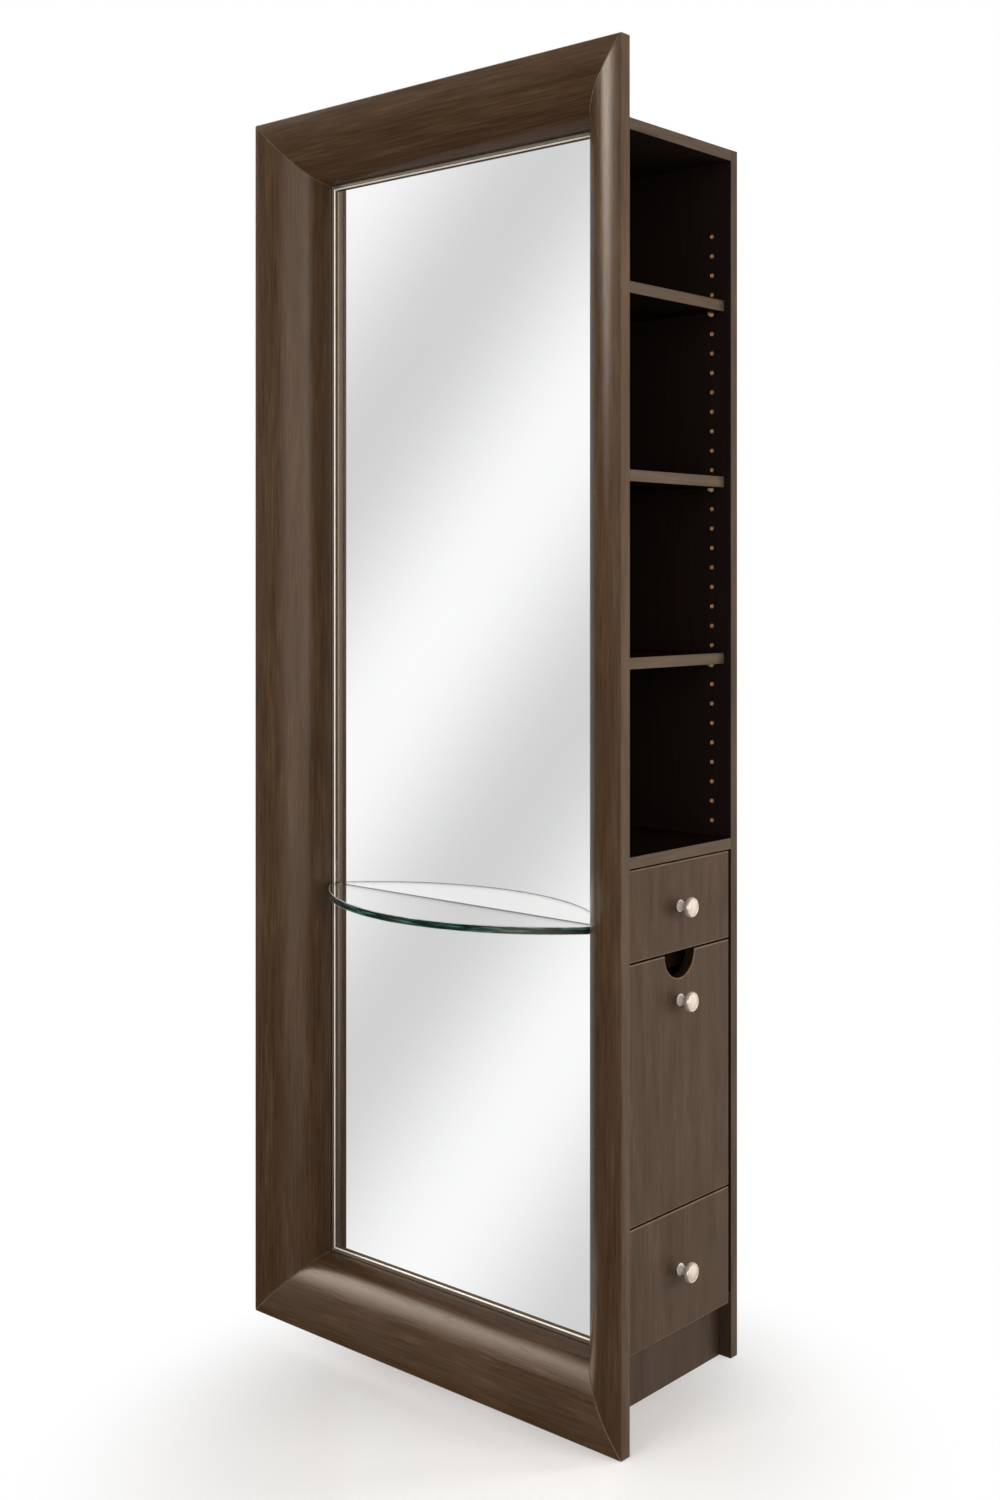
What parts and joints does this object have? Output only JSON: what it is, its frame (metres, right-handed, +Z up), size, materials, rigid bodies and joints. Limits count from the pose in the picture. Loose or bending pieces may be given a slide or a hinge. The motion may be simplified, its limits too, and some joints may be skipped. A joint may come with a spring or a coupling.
{
  "type": "salon styling station",
  "caption": "Tall framed salon mirror with a half-round glass shelf, on a narrow side-opening cabinet with adjustable shelves, drawers and a tilt-out tool bin.",
  "frame": {"origin": "middle of the overall box on the floor: the middle of the width, the middle of the depth from the glass shelf's front edge to the wall face, and the underside at z = 0", "axes": "+X towards the open storage side, +Y towards the wall behind, +Z up; the mirror faces -Y"},
  "size_m": [0.8, 0.466, 2.06],
  "materials": {
    "veneer": "satin dark walnut stain",
    "shelf_board": "satin dark board",
    "carcass_board": "matt dark board",
    "mirror": "polished",
    "clear_glass": "polished, green edge",
    "polished_trim": "bright polished",
    "channel_aluminium": "mill finish",
    "nickel": "satin nickel plate",
    "screw_steel": "zinc plate",
    "slide_steel": "zinc plate",
    "gasket_rubber": "matt",
    "nylon": "moulded",
    "catch_plastic": "moulded"
  },
  "bodies": {
    "station": {"moulding_left": "veneer", "moulding_right": "veneer", "moulding_top": "veneer", "moulding_bottom": "veneer", "sight_trim": "polished_trim", "mirror_sheet": "mirror", "glass_shelf": "clear_glass", "shelf_channel": "channel_aluminium", "shelf_gasket": "gasket_rubber", "channel_screws": "screw_steel", "moulding_screws": "screw_steel", "front_wall": "carcass_board", "rear_panel": "veneer", "top_panel": "shelf_board", "left_panel": "veneer", "inner_back": "carcass_board", "fixed_deck": "shelf_board", "drawer_divider": "carcass_board", "bin_deck": "carcass_board", "bottom_deck": "carcass_board", "toe_kick": "veneer", "carcass_screws": "screw_steel", "pin_sockets": "nickel", "shelf_pins": "nickel", "top_slide_rails": "slide_steel", "bottom_slide_rails": "slide_steel", "pivot_bushes": "nylon", "bin_stop": "carcass_board", "bin_catch": "catch_plastic"},
    "top_drawer": {"top_drawer_front": "veneer", "top_drawer_sides": "carcass_board", "top_drawer_back": "carcass_board", "top_drawer_bottom": "carcass_board", "top_drawer_knob": "nickel", "top_drawer_knob_screw": "screw_steel", "top_drawer_runners": "slide_steel"},
    "top_slides": {"top_slide_middles": "slide_steel"},
    "bottom_drawer": {"bottom_drawer_front": "veneer", "bottom_drawer_sides": "carcass_board", "bottom_drawer_back": "carcass_board", "bottom_drawer_bottom": "carcass_board", "bottom_drawer_knob": "nickel", "bottom_drawer_knob_screw": "screw_steel", "bottom_drawer_runners": "slide_steel"},
    "bottom_slides": {"bottom_slide_middles": "slide_steel"},
    "tool_bin": {"bin_front": "veneer", "bin_cheeks": "carcass_board", "bin_back": "carcass_board", "bin_floor": "carcass_board", "bin_knob": "nickel", "bin_knob_screw": "screw_steel", "bin_pivot_pins": "screw_steel", "bin_strike": "screw_steel"},
    "lower_shelf": {"shelf_lower": "shelf_board"},
    "middle_shelf": {"shelf_middle": "shelf_board"},
    "upper_shelf": {"shelf_upper": "shelf_board"}
  },
  "joints": [
    {"name": "top_drawer_slide", "type": "slide", "parent": "station", "child": "top_drawer", "axis": [1, 0, 0], "range_m": [0, 0.3]},
    {"name": "top_slides_travel", "type": "slide", "parent": "station", "child": "top_slides", "axis": [1, 0, 0], "range_m": [0, 0.15]},
    {"name": "bottom_drawer_slide", "type": "slide", "parent": "station", "child": "bottom_drawer", "axis": [1, 0, 0], "range_m": [0, 0.3]},
    {"name": "bottom_slides_travel", "type": "slide", "parent": "station", "child": "bottom_slides", "axis": [1, 0, 0], "range_m": [0, 0.15]},
    {"name": "tool_bin_tilt", "type": "hinge", "parent": "station", "child": "tool_bin", "pos_m": [0.317, 0.076, 0.3045], "axis": [0, 1, 0], "range_deg": [0, 30]},
    {"name": "lower_shelf_pull", "type": "slide", "parent": "station", "child": "lower_shelf", "axis": [1, 0, 0], "range_m": [0, 0.4]},
    {"name": "middle_shelf_pull", "type": "slide", "parent": "station", "child": "middle_shelf", "axis": [1, 0, 0], "range_m": [0, 0.4]},
    {"name": "upper_shelf_pull", "type": "slide", "parent": "station", "child": "upper_shelf", "axis": [1, 0, 0], "range_m": [0, 0.4]}
  ],
  "couplings": [
    {"joint": "top_slides_travel", "follows": "top_drawer_slide", "ratio": 0.5},
    {"joint": "bottom_slides_travel", "follows": "bottom_drawer_slide", "ratio": 0.5}
  ]
}
